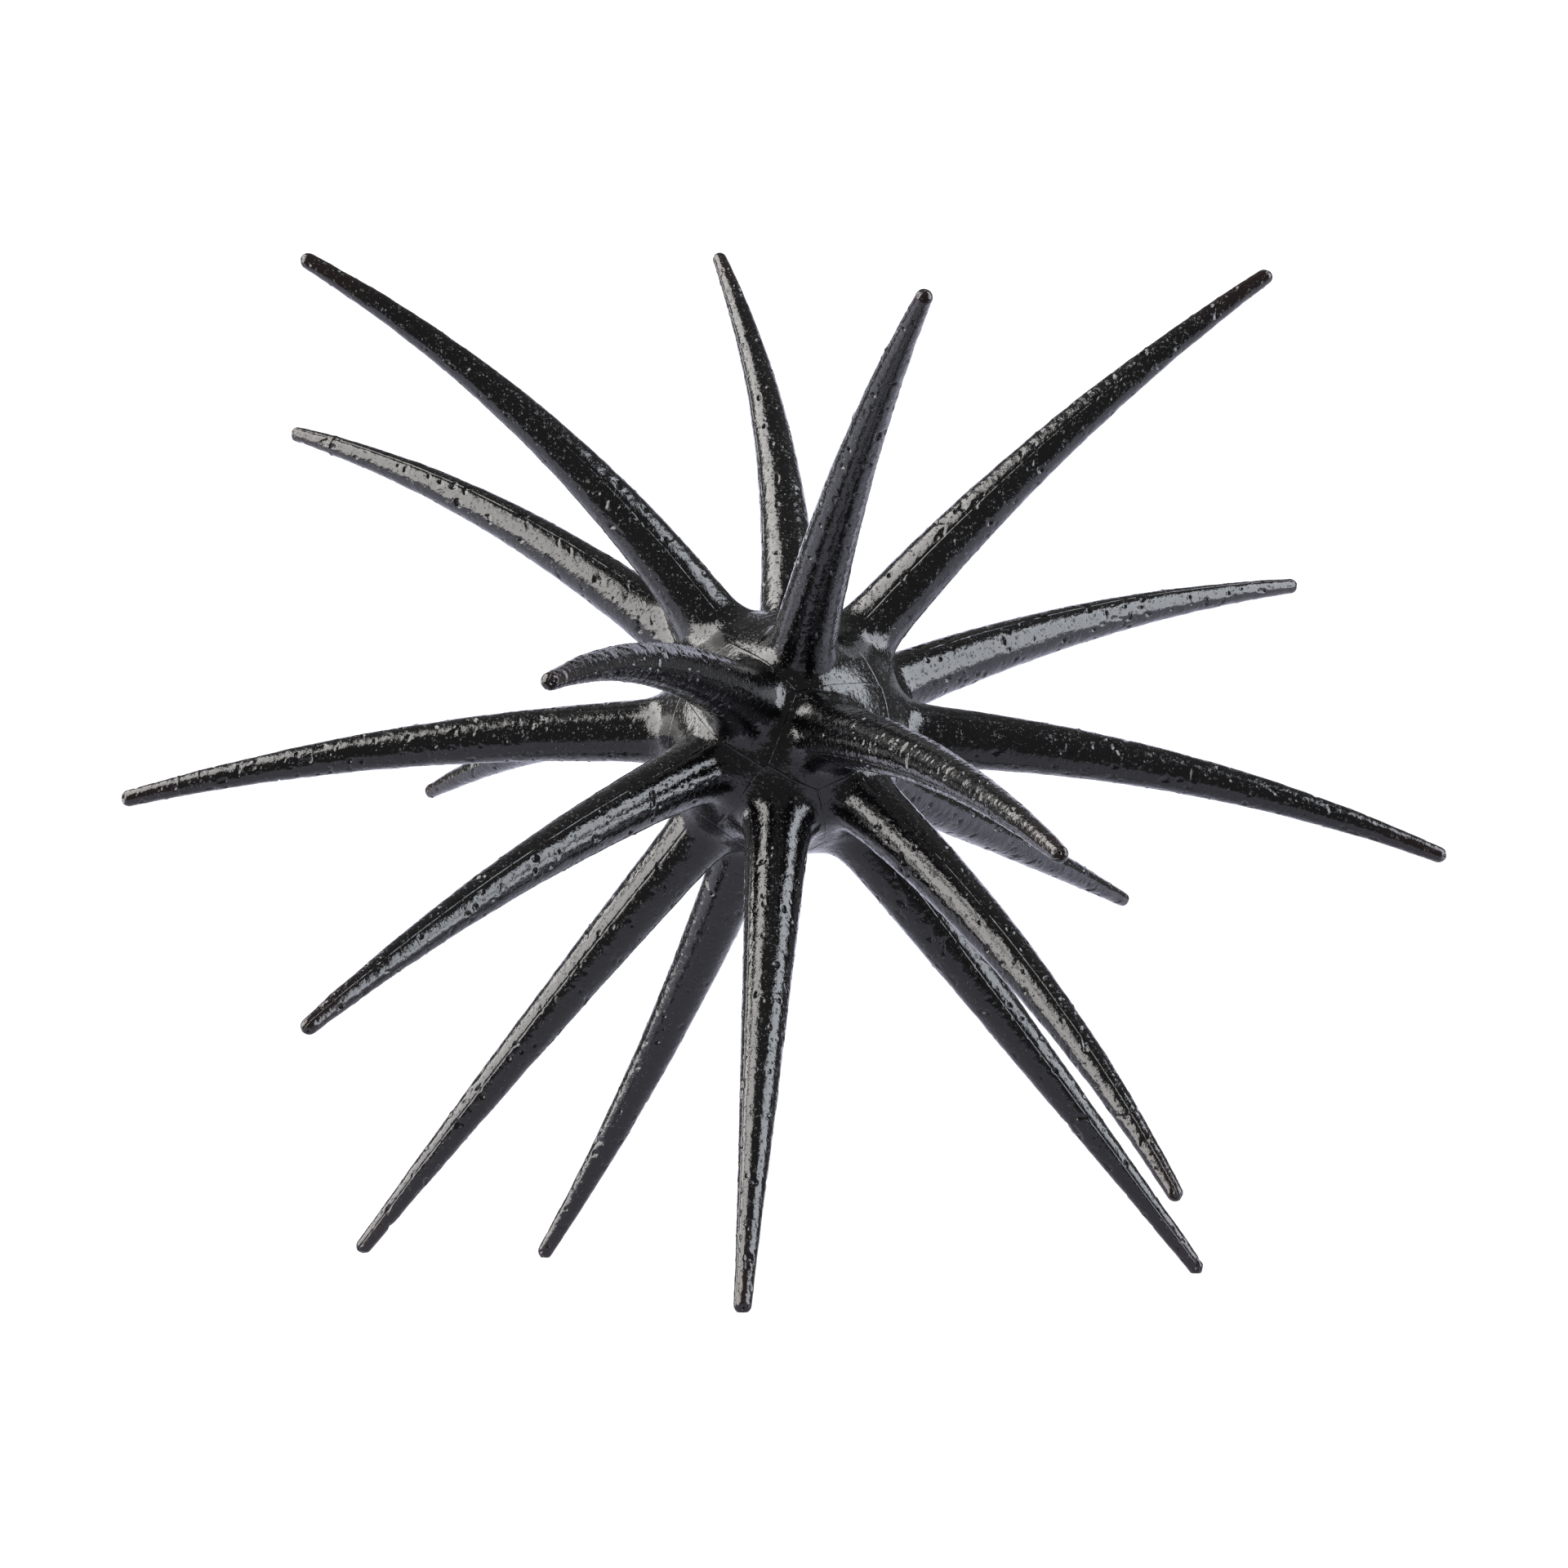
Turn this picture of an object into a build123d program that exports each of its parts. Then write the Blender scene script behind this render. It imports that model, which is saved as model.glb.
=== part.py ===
"""Glossy black rubber sea urchin: a core ball clad in separately moulded spines.

Frame: +Z up, +X to the right, -Y towards the front. The origin is on the floor under the
middle of the object's box. All lengths are millimetres and all angles are degrees.

The spines follow three rings of eight, set at right angles to each other like the faces and
edges of a cube, which makes eighteen. They are soft, so each one droops and leans its own way.
"""

from build123d import *

import os
from collections import namedtuple
from math import asin, cos, degrees, radians, sin

# Driving dimensions
BALL_RADIUS = 9.2  # outer surface of the ball that the spines' feet make up
CORE_RADIUS = 5.5  # solid ball that the feet are bonded round
BOND_GAP = 0.05  # glue line between a foot and the core ball
BALL_CENTRE = Vector(0, 4, 41)
REACH = 51.0  # centre of the ball to the end of a spine
SHAFT_END_RADIUS = 0.5
TIP_RADIUS = 0.55  # the round tip stands a little proud of the end of the shaft
ROOT_RADIUS = 2.5  # of a spine at ROOT_STATION, from where it tapers evenly to its tip
ROOT_STATION = 7.5  # distance from the centre of the ball, inside the wall
FOOT_FILLET = 1.6  # where a spine flares into the ball
PRESSED_DEPTH = 0.1  # a standing tip is pressed this flat on the floor

ON_BALL = 0.01  # an edge this near to the ball's surface lies on it

# Where each spine points as it leaves the ball, and where its tip lies, seen from the centre of
# the ball. Azimuth runs from +X towards +Y, elevation is above the horizon.
Spine = namedtuple("Spine", "root_azimuth root_elevation tip_azimuth tip_elevation reach")


def standing(root_azimuth, root_elevation, tip_azimuth, reach=REACH):
    """A spine whose tip rests on the floor, which presses a small flat on it."""
    drop = BALL_CENTRE.Z - (TIP_RADIUS - PRESSED_DEPTH)
    tip_elevation = -degrees(asin(drop / (reach - TIP_RADIUS)))
    return Spine(root_azimuth, root_elevation, tip_azimuth, tip_elevation, reach)


SPINES = {
    "spine_upper_left": Spine(180.7, 59.6, 180.5, 44.8, 51.5),
    "spine_upper_left_rear": Spine(155.7, 43.3, 153.4, 30, 51.2),
    "spine_upper_rear": Spine(82, 56, 100.4, 54.3, 51.3),
    "spine_upper_front": Spine(-80, 39.8, -77.7, 31.2, REACH),
    "spine_upper_right": Spine(2.6, 52.3, 4.9, 43.6, 51.7),
    "spine_middle_right_rear": Spine(32.2, 23.9, 31.6, 15.6, 51.1),
    "spine_middle_right": Spine(6, 1.5, 3.6, -10.3, 51.4),
    "spine_middle_left": Spine(174.3, 3, 175.6, -5.4, REACH),
    "spine_middle_left_rear": Spine(126.5, 8.5, 126.7, -2.9, REACH),
    "spine_middle_front_left": Spine(-108.7, 13.6, -107.2, 0.5, REACH),
    "spine_middle_front_right": Spine(-69, -2, -69, -12, REACH),
    "spine_low_right_rear": Spine(54.6, -12.1, 54, -13.5, REACH),
    "spine_low_front_left": Spine(-132.7, -17.1, -134.7, -25.5, REACH),
    "spine_low_front_right": Spine(-42.3, -31.6, -46.3, -40.6, 51.5),
    "spine_bottom_left": Spine(163.4, -47.7, 165.7, -49.5, 52),
    "spine_stand_left_rear": standing(110, -46.5, 130),
    "spine_stand_front": standing(-94, -48.5, -95.2, 51.5),
    "spine_stand_right": standing(8.1, -51.5, 10, 52.2),
}

os.makedirs("parts", exist_ok=True)


def direction(azimuth, elevation):
    """Unit vector of an azimuth and an elevation."""
    level = cos(radians(elevation))
    return Vector(
        level * cos(radians(azimuth)), level * sin(radians(azimuth)), sin(radians(elevation))
    )


def centre_line(spine):
    """An arc from the centre of the ball to the centre of the spine's round tip."""
    tip = direction(spine.tip_azimuth, spine.tip_elevation) * (spine.reach - TIP_RADIUS)
    root = direction(spine.root_azimuth, spine.root_elevation)
    return TangentArc(BALL_CENTRE, BALL_CENTRE + tip, tangent=root, mode=Mode.PRIVATE)


def foot_direction(line):
    """Where a centre line comes out of the ball, as a unit vector from its centre."""
    return (line @ (BALL_RADIUS / line.length) - BALL_CENTRE).normalized()


def is_rim(edge):
    """True for an edge where a spine meets the outside of the ball."""
    off_ball = (edge @ 0.5 - BALL_CENTRE).length - BALL_RADIUS
    return edge.geom_type == GeomType.BSPLINE and abs(off_ball) < ON_BALL


LINES = {name: centre_line(spine) for name, spine in SPINES.items()}
FEET = {name: foot_direction(line) for name, line in LINES.items()}


# Core ball
with BuildPart(Plane(BALL_CENTRE)) as core_ball:
    Sphere(CORE_RADIUS)
core_ball.part.label = "core_ball"
export_step(core_ball.part, "parts/core_ball.step")


# Spines. A spine's foot is its share of the ball's wall: everything nearer to it than to any
# other spine, so that the feet close up into the whole ball and meet in flat seams.
for name, line in LINES.items():
    root = ROOT_STATION / line.length
    with BuildPart() as spine:
        with BuildLine() as shaft:
            add(line.trim(root, 1))
        with BuildSketch(Plane(origin=line @ root, z_dir=line % root)):
            Circle(ROOT_RADIUS)
        with BuildSketch(Plane(origin=line @ 1, z_dir=line % 1)):
            Circle(SHAFT_END_RADIUS)
        sweep(multisection=True)
        with Locations(line @ 1):
            Sphere(TIP_RADIUS)
        with Locations(BALL_CENTRE):
            Sphere(BALL_RADIUS)
        fillet(spine.edges().filter_by(is_rim), FOOT_FILLET)
        with Locations(BALL_CENTRE):
            Sphere(CORE_RADIUS + BOND_GAP, mode=Mode.SUBTRACT)
        for other in FEET:
            if other != name:
                seam = Plane(origin=BALL_CENTRE, z_dir=FEET[name] - FEET[other])
                split(bisect_by=seam, keep=Keep.TOP)
        split(bisect_by=Plane.XY, keep=Keep.TOP)
    spine.part.label = name
    export_step(spine.part, f"parts/{name}.step")
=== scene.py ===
"""Looks of a glossy black rubber sea urchin: eighteen moulded spines round a core ball.

Every spine is one closed mesh, made here ring by ring: a bent, tapered shaft with a round tip, a
flare where it meets the ball, its share of the ball's outer wall, and flat walls down to the core.
Geometry is worked out in millimetres from the centre of the ball, and written in metres.
"""

from math import asin, cos, degrees, pi, radians, sin, tan

import bpy
import numpy as np
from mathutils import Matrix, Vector


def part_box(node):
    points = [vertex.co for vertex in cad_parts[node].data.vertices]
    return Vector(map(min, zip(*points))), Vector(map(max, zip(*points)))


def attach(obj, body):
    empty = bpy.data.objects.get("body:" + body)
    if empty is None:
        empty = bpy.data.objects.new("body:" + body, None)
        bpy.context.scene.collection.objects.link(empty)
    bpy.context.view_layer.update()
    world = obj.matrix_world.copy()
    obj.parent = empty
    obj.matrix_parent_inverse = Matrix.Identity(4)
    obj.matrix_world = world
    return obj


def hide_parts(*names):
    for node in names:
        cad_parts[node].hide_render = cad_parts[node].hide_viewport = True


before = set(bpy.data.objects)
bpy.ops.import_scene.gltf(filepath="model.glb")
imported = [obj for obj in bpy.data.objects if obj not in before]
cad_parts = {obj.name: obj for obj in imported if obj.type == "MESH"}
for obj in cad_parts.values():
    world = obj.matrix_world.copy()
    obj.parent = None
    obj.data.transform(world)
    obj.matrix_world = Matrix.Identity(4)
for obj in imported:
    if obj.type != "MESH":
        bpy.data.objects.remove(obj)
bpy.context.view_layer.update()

MM = 0.001

# ---------------------------------------------------------------------------------- dimensions

# A station is a length along a spine's centre line, from the ball's centre.
BALL_RADIUS = 9.2
CORE_FACE = 5.56  # inner face of a foot, a glue line away from the core ball
REACH = 51.0  # from the ball's centre to the end of a tip
TIP_RADIUS = 0.55  # of the design's tip; a centre line ends in the tip's centre
CAP_RADIUS = 0.6  # of the skin's round tip
CAP_OVERSHOOT = 0.003  # the tip's last point stands this far out, to keep the end round
SHAFT_END_RADIUS = 0.6
ROOT_RADIUS = 2.5
ROOT_STATION = 7.5  # where a shaft has its root radius
PRESSED_DEPTH = 0.1  # how much the floor flattens a standing tip
BLEND = 0.78  # how softly the shafts flare into the ball
SHAFT_BEGINS = 3.0  # nearer the ball's centre than this, a shaft leaves the ball alone
NO_SHAFT = 9.0  # distance given for a shaft that plays no part, too far to blend
FLARE_ROOM = 2.2  # the most that a flare adds to a shaft's radius
FOOT_BAND = (BALL_RADIUS - 0.8, BALL_RADIUS + 1.75)  # where the skin of a foot is looked for
NEIGHBOUR_COSINE = 0.3  # spines further apart than this don't blend
SEAM_GAP = 0.006  # half the gap between two feet
SEAM_ROUNDING = 0.04
SEAM_DEPTH = 0.03

low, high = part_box("core_ball")
CENTRE = np.array((low + high) / 2) / MM
STANDING_DROP = CENTRE[2] - (TIP_RADIUS - PRESSED_DEPTH)


def standing(root_azimuth, root_elevation, tip_azimuth, reach=REACH):
    """Directions of a spine whose tip rests on the floor."""
    tip_elevation = -degrees(asin(STANDING_DROP / (reach - TIP_RADIUS)))
    return root_azimuth, root_elevation, tip_azimuth, tip_elevation, reach


# Azimuth and elevation of the root, the same of the tip, and the reach from the ball's centre.
SPINES = {
    "spine_upper_left": (180.7, 59.6, 180.5, 44.8, 51.5),
    "spine_upper_left_rear": (155.7, 43.3, 153.4, 30, 51.2),
    "spine_upper_rear": (82, 56, 100.4, 54.3, 51.3),
    "spine_upper_front": (-80, 39.8, -77.7, 31.2, REACH),
    "spine_upper_right": (2.6, 52.3, 4.9, 43.6, 51.7),
    "spine_middle_right_rear": (32.2, 23.9, 31.6, 15.6, 51.1),
    "spine_middle_right": (6, 1.5, 3.6, -10.3, 51.4),
    "spine_middle_left": (174.3, 3, 175.6, -5.4, REACH),
    "spine_middle_left_rear": (126.5, 8.5, 126.7, -2.9, REACH),
    "spine_middle_front_left": (-108.7, 13.6, -107.2, 0.5, REACH),
    "spine_middle_front_right": (-69, -2, -69, -12, REACH),
    "spine_low_right_rear": (54.6, -12.1, 54, -13.5, REACH),
    "spine_low_front_left": (-132.7, -17.1, -134.7, -25.5, REACH),
    "spine_low_front_right": (-42.3, -31.6, -46.3, -40.6, 51.5),
    "spine_bottom_left": (163.4, -47.7, 165.7, -49.5, 52),
    "spine_stand_left_rear": standing(110, -46.5, 130),
    "spine_stand_front": standing(-94, -48.5, -95.2, 51.5),
    "spine_stand_right": standing(8.1, -51.5, 10, 52.2),
}

# Where the mould's parting line runs down each spine, in degrees from its front side (-Y), to the
# right as one looks from the root to the tip. A second line runs down the opposite side.
PARTING = {
    "spine_upper_left": 18,
    "spine_upper_left_rear": 30,
    "spine_upper_rear": -60,
    "spine_upper_front": -68,
    "spine_upper_right": -17,
    "spine_middle_right_rear": -44,
    "spine_middle_right": 85,
    "spine_middle_left": 95,
    "spine_middle_left_rear": 80,
    "spine_middle_front_left": 70,
    "spine_middle_front_right": 60,
    "spine_low_right_rear": 80,
    "spine_low_front_left": 22,
    "spine_low_front_right": -20,
    "spine_bottom_left": 20,
    "spine_stand_left_rear": 85,
    "spine_stand_front": 54,
    "spine_stand_right": -17,
}
PARTING_HEIGHT = 0.05
PARTING_WIDTH = 0.045
PARTING_BREAKS = 1.3  # size of the stretches in which a line is lower or higher
PARTING_START = (9.4, 10.4)  # stations between which a line rises out of the ball
NIB_HEIGHT, NIB_WIDTH = 0.3, 0.12
NIB_TURN = 1.3  # from the front parting line, in radians

# Unevenness of the skin: size of the lumps and their height.
LUMPS = ((0.4, 0.015), (0.9, 0.02))
WAVE_SIZE = 2.2
WAVE_AT_ROOT, WAVE_ADDED_AT_TIP = 0.015, 0.02
WAVE_GROWTH = (24, 44)  # stations between which the waves grow
# Of warts and dents, only the noise above a threshold shows; it reaches 1 at most.
WART_SIZE, WART_HEIGHT, WART_THRESHOLD = 0.5, 0.42, 0.53
WART_START = (11, 14)  # stations between which warts come in
DENT_SIZE, DENT_DEPTH, DENT_THRESHOLD = 0.4, 0.18, 0.68

# Cross ripples: their length along a spine, their width round it, and how far they lean.
RIPPLE_LENGTH, RIPPLE_WIDTH, RIPPLE_SLANT = 0.25, 1.3, 0.35
RIPPLE_HEIGHT, RIPPLE_EVERYWHERE = 0.016, 0.0015
RIPPLE_BELOW, RIPPLE_ADDED_ABOVE = 0.35, 0.65

# Strength of the cross ripples that bending leaves on the softest spines.
RIPPLED = {
    "spine_middle_front_left": 1.0,
    "spine_middle_front_right": 0.9,
    "spine_middle_left": 0.8,
    "spine_upper_front": 0.5,
}

# Ring creases: station along the spine, angle round it, width and depth.
CREASES = {
    "spine_upper_left": ((16.5, 3.4, 0.05, 0.05), (13.2, 0.6, 0.04, 0.03)),
    "spine_upper_left_rear": ((47.3, 1.5, 0.12, 0.08),),
    "spine_middle_left": ((46.5, 2.0, 0.08, 0.06), (44.9, 3.0, 0.06, 0.04)),
}

COLUMNS = 120
LINE_COLUMNS = (-0.12, -0.07, -0.045, -0.02, 0, 0.02, 0.045, 0.07, 0.12)  # round a parting line
LINE_CLEARANCE = 0.15
CORNER_SEARCH = 2880  # directions in which the corners of a foot are looked for
CAP_ROWS = 14
BARE_TIP_ROWS = 5  # rows over which the detail fades in from the tip
SHAFT_ROWS = 340
RIPPLED_ROWS = 520
FOOT_START = 10.0  # rings end here, and rays from the ball's centre begin
FOOT_STATIONS = 160
FOOT_STATION = 8.0  # counts as the station of every point on a foot
FOOT_STEPS = 16
EDGE_STEPS = (0.25, 0.16, 0.1, 0.06, 0.03)  # rows near a seam, by distance from it
EXACT_SHAFT = 15.0  # beyond this the ball no longer widens a shaft
NARROW_FOOT = 0.12  # a column with less foot than this runs straight down from the shaft
NARROW_SINK = 0.5
HALVINGS = 22
SHARP_EDGE = 55  # degrees between faces that shading doesn't round off


# ------------------------------------------------------------------------------------- helpers


def unit(v):
    return v / np.linalg.norm(v, axis=-1, keepdims=True)


def direction(azimuth, elevation):
    level = cos(radians(elevation))
    return np.array(
        (level * cos(radians(azimuth)), level * sin(radians(azimuth)), sin(radians(elevation)))
    )


def turn_between(a, b):
    """Size of the turn from one angle to another, at most half round."""
    return np.abs((a - b + pi) % (2 * pi) - pi)


def smooth_step(x):
    x = np.clip(x, 0, 1)
    return x * x * (3 - 2 * x)


def ramp(x, ends):
    """From 0 at the first end to 1 at the second, softly."""
    return smooth_step((x - ends[0]) / (ends[1] - ends[0]))


def lattice(cell, seed):
    """A repeatable random number from -1 to 1 for each whole-number cell."""
    n = cell[..., 0] * 73856093 ^ cell[..., 1] * 19349663 ^ cell[..., 2] * 83492791 ^ seed * 2654435
    n = (n ^ (n >> 13)) * 1274126177 & 0xFFFFFFFF
    n = (n ^ (n >> 16)) * 1911520717 & 0xFFFFFFFF
    return (n & 0xFFFFFF) / 0x7FFFFF - 1


def noise(points, size, seed):
    """Smooth value noise from -1 to 1, with lumps about size across."""
    p = points / size
    cell = np.floor(p).astype(np.int64)
    f = p - cell
    f = f * f * (3 - 2 * f)
    total = 0
    for corner in range(8):
        bits = np.array((corner & 1, corner >> 1 & 1, corner >> 2 & 1))
        weight = np.prod(np.where(bits == 1, f, 1 - f), axis=-1)
        total = total + weight * lattice(cell + bits, seed)
    return total


class Arc:
    """The bent centre line of a spine, from the centre of the ball to the centre of its tip."""

    def __init__(self, root_azimuth, root_elevation, tip_azimuth, tip_elevation, reach):
        self.root = direction(root_azimuth, root_elevation)
        tip = direction(tip_azimuth, tip_elevation) * (reach - TIP_RADIUS)
        side = tip - (tip @ self.root) * self.root
        bend = np.arctan2(np.linalg.norm(side), tip @ self.root)
        self.side = unit(side)
        self.normal = np.cross(self.root, self.side)
        self.curve = np.linalg.norm(tip) / 2 / sin(bend)
        self.length = 2 * bend * self.curve
        self.cap = self.length + TIP_RADIUS - CAP_RADIUS
        self.foot = unit(self.point(np.array(BALL_RADIUS)))

    def point(self, s):
        turn = np.asarray(s)[..., None] / self.curve
        return self.curve * (np.sin(turn) * self.root + (1 - np.cos(turn)) * self.side)

    def ray(self, s, around):
        """Unit vector across the centre line at s, at an angle round it."""
        turn = np.asarray(s)[..., None] / self.curve
        inward = np.cos(turn) * self.side - np.sin(turn) * self.root
        angle = np.asarray(around)[..., None]
        return np.cos(angle) * inward + np.sin(angle) * self.normal

    def shaft_radius(self, s):
        slope = (SHAFT_END_RADIUS - ROOT_RADIUS) / (self.length - ROOT_STATION)
        return ROOT_RADIUS + slope * (s - ROOT_STATION)

    def distance(self, p):
        """From points near the ball to the surface of the shaft."""
        q = p - self.side * self.curve
        along, across = q @ self.root, -(q @ self.side)
        s = np.arctan2(along, across) * self.curve
        off = np.hypot(np.hypot(along, across) - self.curve, p @ self.normal)
        return np.where(s < SHAFT_BEGINS, NO_SHAFT, off - self.shaft_radius(s))


ARCS = {name: Arc(*numbers) for name, numbers in SPINES.items()}


def field(p, own):
    """Signed distance, about, to the smoothly joined ball and spines."""
    mine = ARCS[own].distance(p)
    total = np.exp(-(np.linalg.norm(p, axis=-1) - BALL_RADIUS) / BLEND) + np.exp(-mine / BLEND)
    for name, arc in ARCS.items():
        if name != own and arc.foot @ ARCS[own].foot > NEIGHBOUR_COSINE:
            total = total + np.exp(-np.maximum(arc.distance(p), mine - 1) / BLEND)
    return -BLEND * np.log(total)


def solve(origin, ray, near, far, own):
    """Where rays leave the joined body, by halving."""
    near = np.broadcast_to(near, ray.shape[:-1]).copy()
    far = np.broadcast_to(far, ray.shape[:-1]).copy()
    for _ in range(HALVINGS):
        middle = (near + far) / 2
        inside = field(origin + ray * middle[..., None], own) < 0
        near = np.where(inside, middle, near)
        far = np.where(inside, far, middle)
    return near


def shaft_points(arc, own, s, around):
    """Points on the shaft for arrays of stations and angles of the same shape."""
    past = np.maximum(s - arc.cap, 0)
    radius = arc.shaft_radius(np.minimum(s, arc.cap))
    radius = radius * np.sqrt(np.maximum(1 - (past / CAP_RADIUS) ** 2, 0))
    centre, ray = arc.point(s), arc.ray(s, around)
    low_part = s < EXACT_SHAFT
    if low_part.any():
        r = radius[low_part]
        radius[low_part] = solve(centre[low_part], ray[low_part], r * 0.8, r + FLARE_ROOM, own)
    return centre + ray * radius[..., None]


def seam_normals(own):
    """Normals of the planes that share the ball out between a spine and the others."""
    foot = ARCS[own].foot
    return np.array([foot - arc.foot for name, arc in ARCS.items() if name != own])


def seam_angles(directions, foot, normals):
    """Angle from the foot's direction to every seam, going each given way across it."""
    slope = directions @ normals.T
    return np.where(slope < -1e-9, np.arctan2(normals @ foot, -slope), pi)


def parting_angles(arc, own):
    """Angles round a spine, about its centre line, of its two parting lines."""
    middle = np.array(arc.length / 2)
    inward = arc.ray(middle, 0.0)
    along = np.cross(inward, arc.normal)
    front = np.array((0, -1, 0))
    front = unit(front - (front @ along) * along)
    right = np.cross(along, front)
    line = cos(radians(PARTING[own])) * front + sin(radians(PARTING[own])) * right
    angle = np.arctan2(line @ arc.normal, line @ inward)
    return [angle % (2 * pi), (angle + pi) % (2 * pi)]


def column_angles(arc, own, normals):
    """Angles of a mesh's columns, closer together at parting lines, exact at seam corners."""
    lines = parting_angles(arc, own)
    angles = np.arange(COLUMNS) * 2 * pi / COLUMNS
    for line in lines:
        kept = angles[turn_between(angles, line) > LINE_CLEARANCE]
        angles = np.concatenate((kept, (line + np.array(LINE_COLUMNS)) % (2 * pi)))
    angles = np.sort(angles)
    # corners of the foot, found where the nearest seam changes from one column to the next
    dense = np.linspace(0, 2 * pi, CORNER_SEARCH + 1)[:-1]
    start = unit(shaft_points(arc, own, np.full(dense.shape, FOOT_START), dense))
    across = unit(start - (start @ arc.foot)[:, None] * arc.foot)
    nearest = seam_angles(across, arc.foot, normals).argmin(axis=1)
    for index in np.flatnonzero(nearest != np.roll(nearest, -1)):
        corner = dense[index] + pi / CORNER_SEARCH
        gap = turn_between(angles, corner)
        angles = np.append(np.delete(angles, gap.argmin()), corner)
        angles = np.sort(angles)
    return angles, lines


def foot_start(arc, own, angles, normals):
    """Station on each column where the shaft ends: lower down, or where it meets a seam."""
    stations = np.linspace(FOOT_START, EXACT_SHAFT - 0.2, FOOT_STATIONS)
    s, around = np.meshgrid(stations, angles, indexing="ij")
    clear = (shaft_points(arc, own, s, around) @ normals.T).min(axis=-1) - SEAM_GAP
    start = np.full(angles.shape, FOOT_START)
    for column in range(len(angles)):
        crossed = np.flatnonzero(clear[:, column] < 0)
        if len(crossed):
            k = crossed[-1]
            share = clear[k, column] / (clear[k, column] - clear[k + 1, column])
            start[column] = stations[k] + share * (stations[k + 1] - stations[k])
    return start


def relief(points, normals, s, around, arc, own, lines):
    """Height of the moulded detail on a spine's skin, in millimetres."""
    seed = list(SPINES).index(own) * 7
    height = 0
    for k, (size, rise) in enumerate(LUMPS):
        height = height + rise * noise(points, size, seed + 1 + k)
    wave = WAVE_AT_ROOT + WAVE_ADDED_AT_TIP * ramp(s, WAVE_GROWTH)
    height = height + wave * noise(points, WAVE_SIZE, seed + 3)
    wart = np.clip(noise(points, WART_SIZE, seed + 4) - WART_THRESHOLD, 0, 1)
    dent = np.clip(noise(points, DENT_SIZE, seed + 5) - DENT_THRESHOLD, 0, 1)
    height = height + WART_HEIGHT * wart * ramp(s, WART_START) - DENT_DEPTH * dent
    # cross ripples, a little aslant, most of them on the side that faces up
    radius = np.minimum(arc.shaft_radius(s), ROOT_RADIUS)
    aslant = (s + RIPPLE_SLANT * radius * around) / RIPPLE_LENGTH
    ripple_spot = np.stack(
        (aslant, around * radius / RIPPLE_WIDTH, np.full(s.shape, seed + 0.5)), axis=-1
    )
    side = RIPPLE_BELOW + RIPPLE_ADDED_ABOVE * np.clip(normals[..., 2], 0, 1)
    depth = RIPPLE_EVERYWHERE + RIPPLE_HEIGHT * RIPPLED.get(own, 0.0) * side
    height = height + depth * noise(ripple_spot, 1.0, seed + 6)
    # parting lines, from just outside the ball
    on_shaft = ramp(s, PARTING_START)
    for line in lines:
        off = turn_between(around, line) * radius
        broken = 0.75 + 0.25 * noise(points, PARTING_BREAKS, seed + 6)
        height = height + PARTING_HEIGHT * broken * on_shaft * np.exp(-off / PARTING_WIDTH)
    # a nib of flash on the end of the tip, to one side
    off = turn_between(around, lines[0] - NIB_TURN) * SHAFT_END_RADIUS * 0.5
    along = s - (arc.cap + CAP_RADIUS * 0.85)
    height = height + NIB_HEIGHT * np.exp(-np.hypot(off, along) / NIB_WIDTH)
    # ring creases, part of the way round
    for station, start, width, depth in CREASES.get(own, ()):
        near = np.exp(-(((s - station) / width) ** 2))
        part = smooth_step(1.6 * np.cos(around - start) + 0.6)
        height = height - depth * near * part
    return height


def grid_normals(grid):
    """Outward normals of a grid of points, rows by columns that go right round."""
    down = np.gradient(grid, axis=0)
    round_ = (np.roll(grid, -1, axis=1) - np.roll(grid, 1, axis=1)) / 2
    return unit(np.cross(round_, down))


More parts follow.
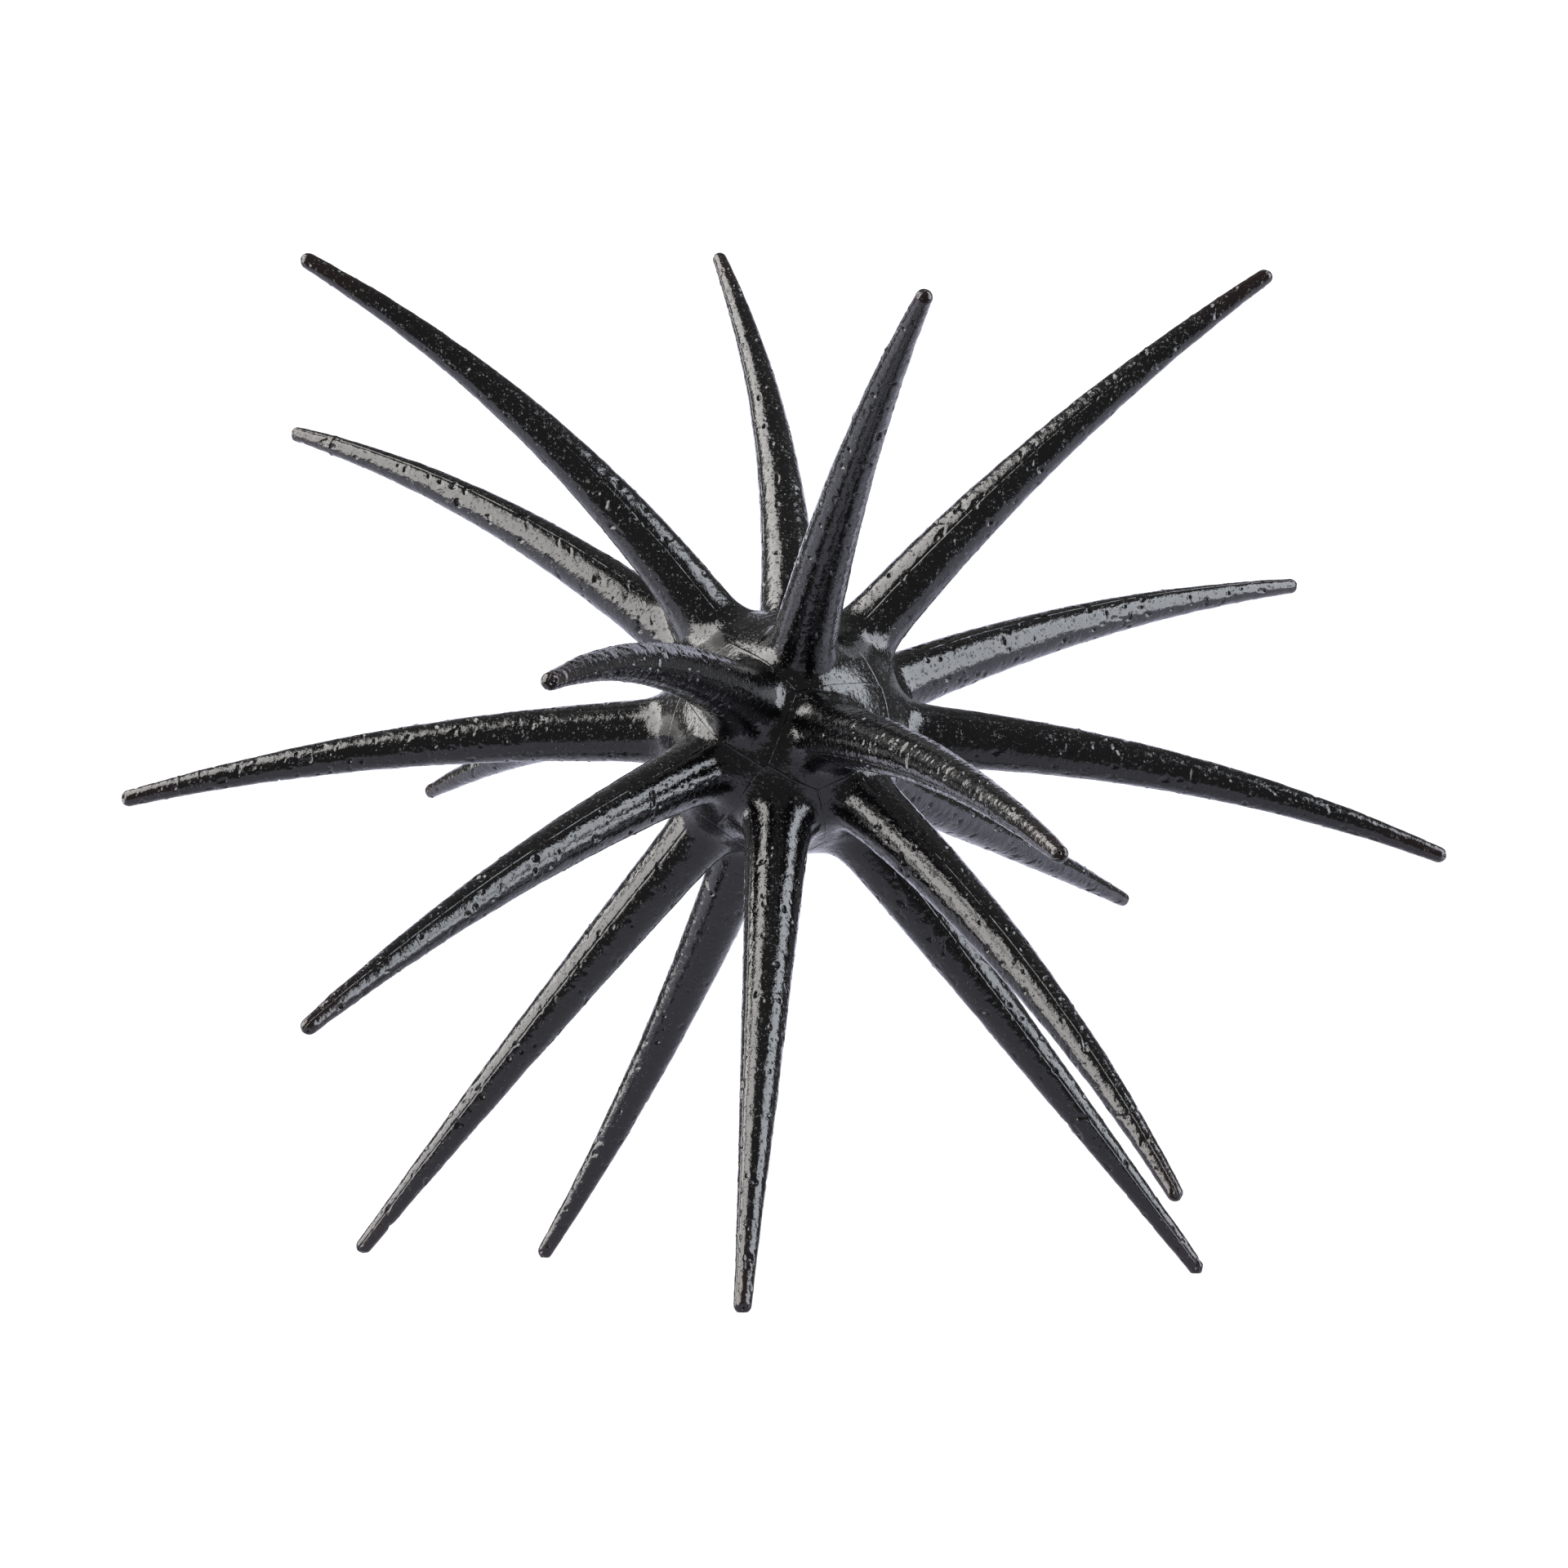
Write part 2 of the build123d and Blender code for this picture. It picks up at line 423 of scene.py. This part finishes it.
def build_spine(name):
    """Grid of a spine's points, rows from the tip to the inner face, and its two end points."""
    arc = ARCS[name]
    normals = unit(seam_normals(name))
    angles, lines = column_angles(arc, name, normals)
    start = foot_start(arc, name, angles, normals)
    # tip and shaft
    cap = arc.cap + CAP_RADIUS * np.cos(np.linspace(0.1, pi / 2, CAP_ROWS + 1)[:-1])
    share = np.linspace(0, 1, RIPPLED_ROWS if name in RIPPLED else SHAFT_ROWS)[:, None]
    shaft = arc.cap + (start[None, :] - arc.cap) * share
    s = np.concatenate((np.broadcast_to(cap[:, None], (CAP_ROWS, len(angles))), shaft))
    around = np.broadcast_to(angles, s.shape)
    outer = shaft_points(arc, name, s, around)
    # foot: along rays from the ball's centre, out to the seams
    ring = outer[-1]
    ring_reach = np.linalg.norm(ring, axis=-1)
    lean = np.arccos(np.clip(unit(ring) @ arc.foot, -1, 1))
    across = unit(ring - (ring @ arc.foot)[:, None] * arc.foot)
    limit = seam_angles(across, arc.foot, normals).min(axis=-1) - SEAM_GAP / BALL_RADIUS
    span = np.maximum(limit - lean, 0)
    edge = np.array(EDGE_STEPS + (0.0,)) / BALL_RADIUS
    room = np.minimum(1, span / (2 * edge[0]))
    inner_end = span - edge[0] * room
    steps = np.linspace(0, 1, FOOT_STEPS + 1)[1:-1, None] * inner_end
    steps = np.concatenate((steps, span - edge[:, None] * room))
    tilt = lean + steps
    rays = np.cos(tilt)[..., None] * arc.foot + np.sin(tilt)[..., None] * across
    reach = solve(np.zeros(3), rays, *FOOT_BAND, name)
    merged = 1 - smooth_step(span * BALL_RADIUS / NARROW_FOOT)
    sink = np.linspace(0, 1, len(steps) + 1)[1:, None] * NARROW_SINK
    reach = reach * (1 - merged) + (ring_reach - sink) * merged
    outer = np.concatenate((outer, rays * reach[..., None]))
    s = np.concatenate((s, np.full(reach.shape, FOOT_STATION)))
    around = np.broadcast_to(angles, s.shape)
    # moulded detail, and a fine rounding at the seams
    facing = grid_normals(outer)
    height = relief(outer, facing, s, around, arc, name, lines)
    height = height * smooth_step(np.arange(len(s)) / BARE_TIP_ROWS)[:, None]
    gap = (outer @ normals.T).min(axis=-1)
    height = height - SEAM_DEPTH * np.exp(-np.maximum(gap, 0) / SEAM_ROUNDING)
    outer = outer + facing * height[..., None]
    if name.startswith("spine_stand"):
        outer[..., 2] = np.maximum(outer[..., 2], -CENTRE[2])
    # walls down to the core, and the inner face
    down = np.linalg.norm(outer[-1], axis=-1)
    walls = [rays[-1] * (down + (CORE_FACE - down) * part)[:, None] for part in (0.33, 0.67, 1.0)]
    for part in (0.66, 0.33):
        inward = tilt[-1] * part
        ray = np.cos(inward)[:, None] * arc.foot + np.sin(inward)[:, None] * across
        walls.append(ray * CORE_FACE)
    grid = np.concatenate((outer, np.array(walls)))
    turn = arc.length / arc.curve
    tangent = cos(turn) * arc.root + sin(turn) * arc.side
    pole_out = arc.point(np.array(arc.length)) + tangent * (TIP_RADIUS + CAP_OVERSHOOT)
    if name.startswith("spine_stand"):
        pole_out[2] = max(pole_out[2], -CENTRE[2])
    pole_in = arc.foot * CORE_FACE
    return grid, pole_out, pole_in


def make_mesh(name, grid, pole_out, pole_in):
    """A closed mesh: quads down the grid, and a fan of triangles at each end."""
    rows, columns = grid.shape[:2]
    points = np.concatenate((grid.reshape(-1, 3), pole_out[None], pole_in[None]))
    points = (points + CENTRE) * MM
    index = np.arange(rows * columns).reshape(rows, columns)
    after = np.roll(index, -1, axis=1)
    quads = np.stack((index[:-1], index[1:], after[1:], after[:-1]), axis=-1).reshape(-1, 4)
    outer_end, inner_end = rows * columns, rows * columns + 1
    caps = [(outer_end, int(a), int(b)) for a, b in zip(index[0], after[0])]
    caps += [(inner_end, int(b), int(a)) for a, b in zip(index[-1], after[-1])]
    mesh = bpy.data.meshes.new(name)
    mesh.from_pydata(points.tolist(), [], quads.tolist() + caps)
    mesh.validate()
    mesh.polygons.foreach_set("use_smooth", [True] * len(mesh.polygons))
    mesh.set_sharp_from_angle(angle=radians(SHARP_EDGE))
    return mesh


# ----------------------------------------------------------------------------------- materials


def node_tree(material):
    material.use_nodes = True
    tree = material.node_tree
    tree.nodes.clear()
    return tree


def add(tree, kind, inputs=(), **settings):
    node = tree.nodes.new(kind)
    for key, value in settings.items():
        setattr(node, key, value)
    for key, value in dict(inputs).items():
        if isinstance(value, bpy.types.NodeSocket):
            tree.links.new(value, node.inputs[key])
        else:
            node.inputs[key].default_value = value
    return node


def speckle(tree, spot, density, share, radius, name):
    """Height of round pits strewn at random: 0 in a pit and 1 between them."""
    cells = add(tree, "ShaderNodeTexVoronoi", {"Vector": spot, "Scale": density})
    cells.label = name
    pick = add(tree, "ShaderNodeSeparateColor", {"Color": cells.outputs["Color"]})
    size = add(
        tree, "ShaderNodeMapRange",
        {
            "Value": pick.outputs["Red"], "From Min": 1 - share, "From Max": 1.0,
            "To Min": 0.004, "To Max": radius * density,
        },
    )
    ratio = add(
        tree, "ShaderNodeMath", {0: cells.outputs["Distance"], 1: size.outputs["Result"]},
        operation="DIVIDE",
    )
    return add(
        tree, "ShaderNodeMapRange",
        {"Value": ratio.outputs[0], "From Min": 0.3, "From Max": 1.0},
        interpolation_type="SMOOTHSTEP",
    ).outputs["Result"]


def bump(tree, height, depth, normal=None):
    node = add(tree, "ShaderNodeBump", {"Height": height, "Distance": depth * MM, "Strength": 1.0})
    if normal is not None:
        tree.links.new(normal, node.inputs["Normal"])
    return node.outputs["Normal"]


def rubber():
    material = bpy.data.materials.new("glossy_black_rubber")
    tree = node_tree(material)
    place = add(tree, "ShaderNodeTexCoord").outputs["Object"]
    spot = add(tree, "ShaderNodeMapping", {"Vector": place, "Scale": (1000, 1000, 1000)})
    spot = spot.outputs["Vector"]
    # relief: orange peel, and ragged pits of two sizes
    peel = add(tree, "ShaderNodeTexNoise", {"Vector": spot, "Scale": 3.0, "Detail": 3.0})
    fine = add(tree, "ShaderNodeTexNoise", {"Vector": spot, "Scale": 9.0, "Detail": 2.0})
    ragged = add(
        tree, "ShaderNodeVectorMath",
        {0: fine.outputs["Color"], 1: (0.22, 0.22, 0.22), 2: spot}, operation="MULTIPLY_ADD",
    ).outputs["Vector"]
    surface = bump(tree, peel.outputs["Fac"], 0.034)
    surface = bump(tree, fine.outputs["Fac"], 0.006, surface)
    surface = bump(tree, speckle(tree, ragged, 2.8, 0.65, 0.17, "pits"), 0.032, surface)
    surface = bump(tree, speckle(tree, ragged, 5.5, 0.25, 0.08, "small pits"), 0.02, surface)
    # colour: black, with a painted brownish glow of light shining through the thin tips, and a
    # little dust
    cloud = add(tree, "ShaderNodeTexNoise", {"Vector": spot, "Scale": 0.35, "Detail": 4.0})
    shade = add(tree, "ShaderNodeMix", {0: cloud.outputs["Fac"]}, data_type="RGBA")
    shade.inputs[6].default_value = (0.0012, 0.0012, 0.0016, 1)
    shade.inputs[7].default_value = (0.0034, 0.0030, 0.0032, 1)
    reach = add(
        tree, "ShaderNodeVectorMath", {0: spot, 1: tuple(float(c) for c in CENTRE)},
        operation="DISTANCE",
    )
    tip_glow_mask = add(
        tree, "ShaderNodeMapRange",
        {"Value": reach.outputs["Value"], "From Min": 42.0, "From Max": 52.0},
        interpolation_type="SMOOTHSTEP",
    )
    # painted glow: the brownish light that shines through the thin rubber near the tips, put into
    # the base colour
    painted_tip_glow = add(
        tree, "ShaderNodeMix", {0: tip_glow_mask.outputs["Result"], 6: shade.outputs[2]}, data_type="RGBA"
    )
    painted_tip_glow.inputs[7].default_value = (0.0095, 0.0054, 0.005, 1)
    lint = add(
        tree, "ShaderNodeMath", {0: 1.0, 1: speckle(tree, spot, 1.1, 0.3, 0.05, "dust")},
        operation="SUBTRACT",
    )
    dusty = add(
        tree, "ShaderNodeMix", {0: lint.outputs[0], 6: painted_tip_glow.outputs[2]}, data_type="RGBA"
    )
    dusty.inputs[7].default_value = (0.20, 0.18, 0.13, 1)
    gloss = add(
        tree, "ShaderNodeMapRange",
        {
            "Value": cloud.outputs["Fac"], "From Min": 0.3, "From Max": 0.7,
            "To Min": 0.07, "To Max": 0.14,
        },
    )
    # pinholes, too rough and deep to shine
    holes = add(tree, "ShaderNodeTexNoise", {"Vector": spot, "Scale": 4.2, "Detail": 2.0})
    matt = add(
        tree, "ShaderNodeMapRange",
        {
            "Value": holes.outputs["Fac"], "From Min": 0.64, "From Max": 0.68,
            "To Min": 0.0, "To Max": 0.5,
        },
    )
    rough = add(
        tree, "ShaderNodeMath", {0: gloss.outputs["Result"], 1: matt.outputs["Result"]},
        operation="ADD",
    )
    skin = add(
        tree, "ShaderNodeBsdfPrincipled",
        {
            "Base Color": dusty.outputs[2], "Roughness": rough.outputs[0],
            "Normal": surface, "IOR": 1.5,
        },
    )
    add(tree, "ShaderNodeOutputMaterial", {"Surface": skin.outputs["BSDF"]})
    return material


def core_rubber():
    material = bpy.data.materials.new("core_rubber")
    tree = node_tree(material)
    place = add(tree, "ShaderNodeTexCoord").outputs["Object"]
    grain = add(tree, "ShaderNodeTexNoise", {"Vector": place, "Scale": 1800.0, "Detail": 4.0})
    uneven = add(
        tree, "ShaderNodeBump",
        {"Height": grain.outputs["Fac"], "Distance": 0.05 * MM, "Strength": 0.6},
    )
    shade = add(tree, "ShaderNodeMix", {0: grain.outputs["Fac"]}, data_type="RGBA")
    shade.inputs[6].default_value = (0.008, 0.008, 0.009, 1)
    shade.inputs[7].default_value = (0.02, 0.019, 0.02, 1)
    skin = add(
        tree, "ShaderNodeBsdfPrincipled",
        {"Base Color": shade.outputs[2], "Roughness": 0.6, "Normal": uneven.outputs["Normal"]},
    )
    add(tree, "ShaderNodeOutputMaterial", {"Surface": skin.outputs["BSDF"]})
    return material


# --------------------------------------------------------------------------------- the object

skin = rubber()
for name in SPINES:
    piece = bpy.data.objects.new(name + "_skin", make_mesh(name + "_skin", *build_spine(name)))
    bpy.context.scene.collection.objects.link(piece)
    piece.data.materials.append(skin)
    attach(piece, "root")
    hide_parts(name)

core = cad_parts["core_ball"]
core_skin = core_rubber()
for k in range(len(core.material_slots)):
    core.material_slots[k].material = core_skin
if not core.material_slots:
    core.data.materials.append(core_skin)

# ---------------------------------------------------------------------------- floor and light

FLOOR_HALF_WIDTH = 0.45
FLOOR_FRONT, FLOOR_BACK = -0.045, 0.45
BACKDROP_HALF_WIDTH, BACKDROP_HEIGHT = 0.25, 0.3
PANEL_DISTANCE = 0.6
CAMERA_PLACE = (0, -0.3039, 0.0227)
CAMERA_TILT = 2.69  # degrees up from level
CAMERA_LENS = 93.75

scene = bpy.context.scene
scene.view_settings.view_transform = "Standard"
scene.cycles.use_denoising = False


def sheet(name, half_width, near, far):
    """A flat rectangle between two level edges, each given by its y and z."""
    mesh = bpy.data.meshes.new(name)
    corners = [(-half_width, *near), (half_width, *near), (half_width, *far), (-half_width, *far)]
    mesh.from_pydata(corners, [], [(0, 1, 2, 3)])
    piece = bpy.data.objects.new(name, mesh)
    scene.collection.objects.link(piece)
    return piece


floor = sheet("floor", FLOOR_HALF_WIDTH, (FLOOR_FRONT, 0), (FLOOR_BACK, 0))
backdrop = sheet("backdrop", BACKDROP_HALF_WIDTH, (FLOOR_BACK, 0), (FLOOR_BACK, BACKDROP_HEIGHT))

# white to the camera; in reflections bluish, and dimmer in the shade under the object
pale = bpy.data.materials.new("pale_floor")
tree = node_tree(pale)
seen = add(tree, "ShaderNodeLightPath").outputs["Is Camera Ray"]
place = add(tree, "ShaderNodeTexCoord").outputs["Object"]
away = add(tree, "ShaderNodeVectorMath", {0: place}, operation="LENGTH").outputs["Value"]
shade = add(
    tree, "ShaderNodeMapRange",
    {"Value": away, "From Min": 0.02, "From Max": 0.11, "To Min": 0.65, "To Max": 1.15},
    interpolation_type="SMOOTHSTEP",
)
strength = add(tree, "ShaderNodeMix", {0: seen, 2: shade.outputs["Result"], 3: 1.0})
tint = add(tree, "ShaderNodeMix", {0: seen}, data_type="RGBA")
tint.inputs[6].default_value = (0.9, 0.91, 1.12, 1)
tint.inputs[7].default_value = (1, 1, 1, 1)
surface = add(
    tree, "ShaderNodeBsdfPrincipled",
    {
        "Base Color": (0.1, 0.1, 0.1, 1), "Roughness": 0.6, "Specular IOR Level": 0.0,
        "Emission Color": tint.outputs[2], "Emission Strength": strength.outputs[0],
    },
)
add(tree, "ShaderNodeOutputMaterial", {"Surface": surface.outputs["BSDF"]})
for stand in (floor, backdrop):
    stand.data.materials.append(pale)

world = bpy.data.worlds.new("studio")
scene.world = world
world.use_nodes = True
tree = world.node_tree
tree.nodes.clear()
seen = add(tree, "ShaderNodeLightPath").outputs["Is Camera Ray"]
white = add(tree, "ShaderNodeBackground", {"Color": (1, 1, 1, 1), "Strength": 1.0})
dim = add(tree, "ShaderNodeBackground", {"Color": (1, 1, 1, 1), "Strength": 0.2})
choose = add(tree, "ShaderNodeMixShader", {0: seen, 1: dim.outputs[0], 2: white.outputs[0]})
add(tree, "ShaderNodeOutputWorld", {"Surface": choose.outputs[0]})


def panel(name, azimuth, elevation, half_width, half_height, radiance, color):
    """A soft rectangular light that faces the ball and fills the given half angles.

    Azimuth 0 is at the camera's side, and 90 on the right.
    """
    light = bpy.data.lights.new(name, "AREA")
    light.shape = "RECTANGLE"
    light.size = 2 * PANEL_DISTANCE * tan(radians(half_width))
    light.size_y = 2 * PANEL_DISTANCE * tan(radians(half_height))
    light.energy = radiance * pi * light.size * light.size_y
    light.color = color
    lamp = bpy.data.objects.new(name, light)
    away = Vector(direction(azimuth - 90, elevation))
    lamp.location = Vector(CENTRE * MM) + away * PANEL_DISTANCE
    lamp.rotation_mode = "QUATERNION"
    lamp.rotation_quaternion = away.to_track_quat("Z", "Y")
    lamp.visible_camera = False
    scene.collection.objects.link(lamp)


panel("left_softbox", -80, 28.5, 32, 35.5, 7.4, (1, 0.985, 0.955))
panel("right_softbox", 79, 19.5, 21, 33.5, 7.0, (0.91, 0.96, 1.03))

# ------------------------------------------------------------------------------------- camera

camera_data = bpy.data.cameras.new("camera")
camera_data.lens = CAMERA_LENS
camera_data.clip_start, camera_data.clip_end = 0.01, 10
camera = bpy.data.objects.new("camera", camera_data)
camera.location = CAMERA_PLACE
camera.rotation_euler = (radians(90 + CAMERA_TILT), 0, 0)
scene.collection.objects.link(camera)
scene.camera = camera
